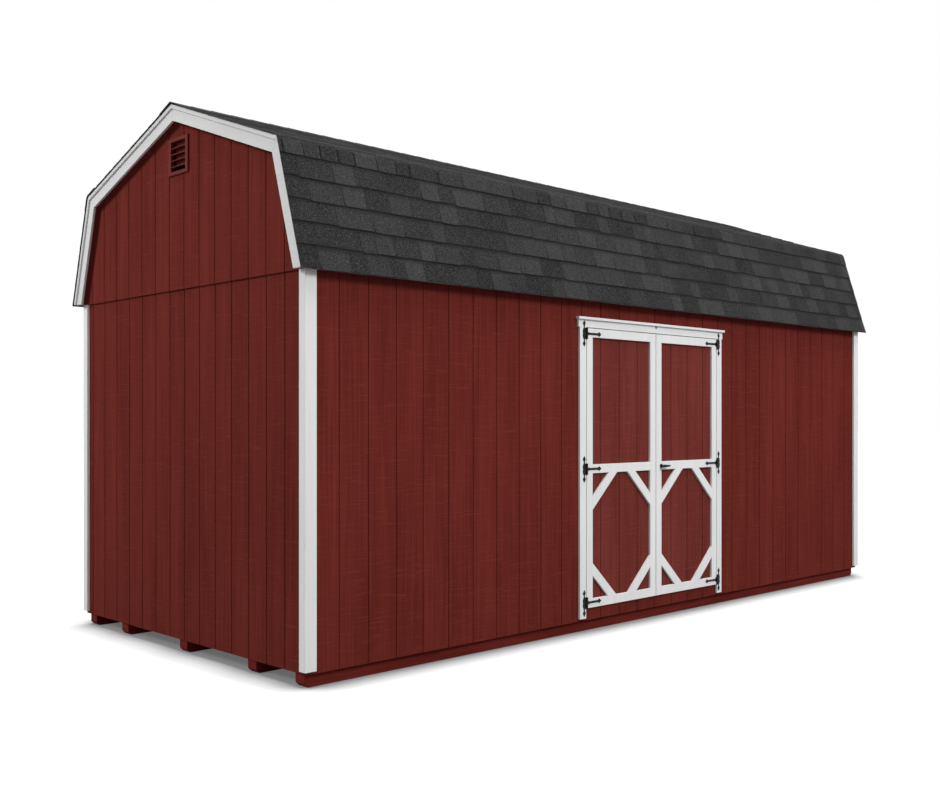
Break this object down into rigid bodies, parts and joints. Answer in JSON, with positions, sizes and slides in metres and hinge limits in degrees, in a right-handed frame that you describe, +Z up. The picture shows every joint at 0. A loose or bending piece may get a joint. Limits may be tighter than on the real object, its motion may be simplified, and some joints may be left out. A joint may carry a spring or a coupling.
{
  "type": "gambrel-roof storage barn",
  "caption": "Red wooden storage barn on skids with a shingled gambrel roof, white trim, a hinged double door in the long front wall and louvred gable vents.",
  "frame": {"origin": "on the ground under the middle of the barn", "axes": "+X along the barn's length, -Y the way the double door faces, +Z up"},
  "size_m": [6.2808, 3.126, 3.6037],
  "materials": {
    "red_siding": "painted wood siding, satin barn red",
    "white_trim": "painted wood, satin white",
    "shingle": "charcoal mineral-coated asphalt shingles on wood sheathing",
    "framing_lumber": "bare softwood",
    "plywood": "bare plywood sheet",
    "treated_timber": "treated timber painted barn red",
    "black_iron": "black powder-coated steel, satin"
  },
  "bodies": {
    "barn": {"front_siding_left": "red_siding", "front_siding_right": "red_siding", "front_siding_over_door": "red_siding", "front_siding_below_door": "red_siding", "rear_siding": "red_siding", "left_wall_siding": "red_siding", "right_wall_siding": "red_siding", "left_gable_siding": "red_siding", "right_gable_siding": "red_siding", "fly_rafters": "red_siding", "eave_soffits": "red_siding", "left_gable_vent": "red_siding", "right_gable_vent": "red_siding", "corner_trims": "white_trim", "door_jamb_trims": "white_trim", "door_head_trim": "white_trim", "rake_fascia": "white_trim", "rake_strips": "white_trim", "front_lower_roof": "shingle", "front_upper_roof": "shingle", "rear_lower_roof": "shingle", "rear_upper_roof": "shingle", "ridge_cap": "shingle", "floor_rims": "framing_lumber", "floor_joists": "framing_lumber", "wall_plates": "framing_lumber", "wall_studs": "framing_lumber", "door_header_beam": "framing_lumber", "lower_rafters": "framing_lumber", "upper_rafters": "framing_lumber", "floor_deck": "plywood", "rafter_gussets": "plywood", "roof_sheathing": "plywood", "skids": "treated_timber", "hinge_plates": "black_iron"},
    "left_door": {"left_door_panel": "red_siding", "left_door_trim": "white_trim", "left_door_frame": "framing_lumber", "left_hinge_straps": "black_iron"},
    "right_door": {"right_door_panel": "red_siding", "right_door_trim": "white_trim", "right_door_frame": "framing_lumber", "right_hinge_straps": "black_iron", "handle_rosette": "black_iron"},
    "door_handle": {"handle_lever": "black_iron"}
  },
  "joints": [
    {"name": "left_door_swing", "type": "hinge", "parent": "barn", "child": "left_door", "pos_m": [-0.7785, -1.5117, 1.172], "axis": [0, 0, -1], "range_deg": [0, 170]},
    {"name": "right_door_swing", "type": "hinge", "parent": "barn", "child": "right_door", "pos_m": [0.7785, -1.5117, 1.172], "axis": [0, 0, 1], "range_deg": [0, 170]},
    {"name": "handle_turn", "type": "hinge", "parent": "right_door", "child": "door_handle", "pos_m": [0.061, -1.5247, 1.169], "axis": [0, 1, 0], "range_deg": [0, 50]}
  ]
}
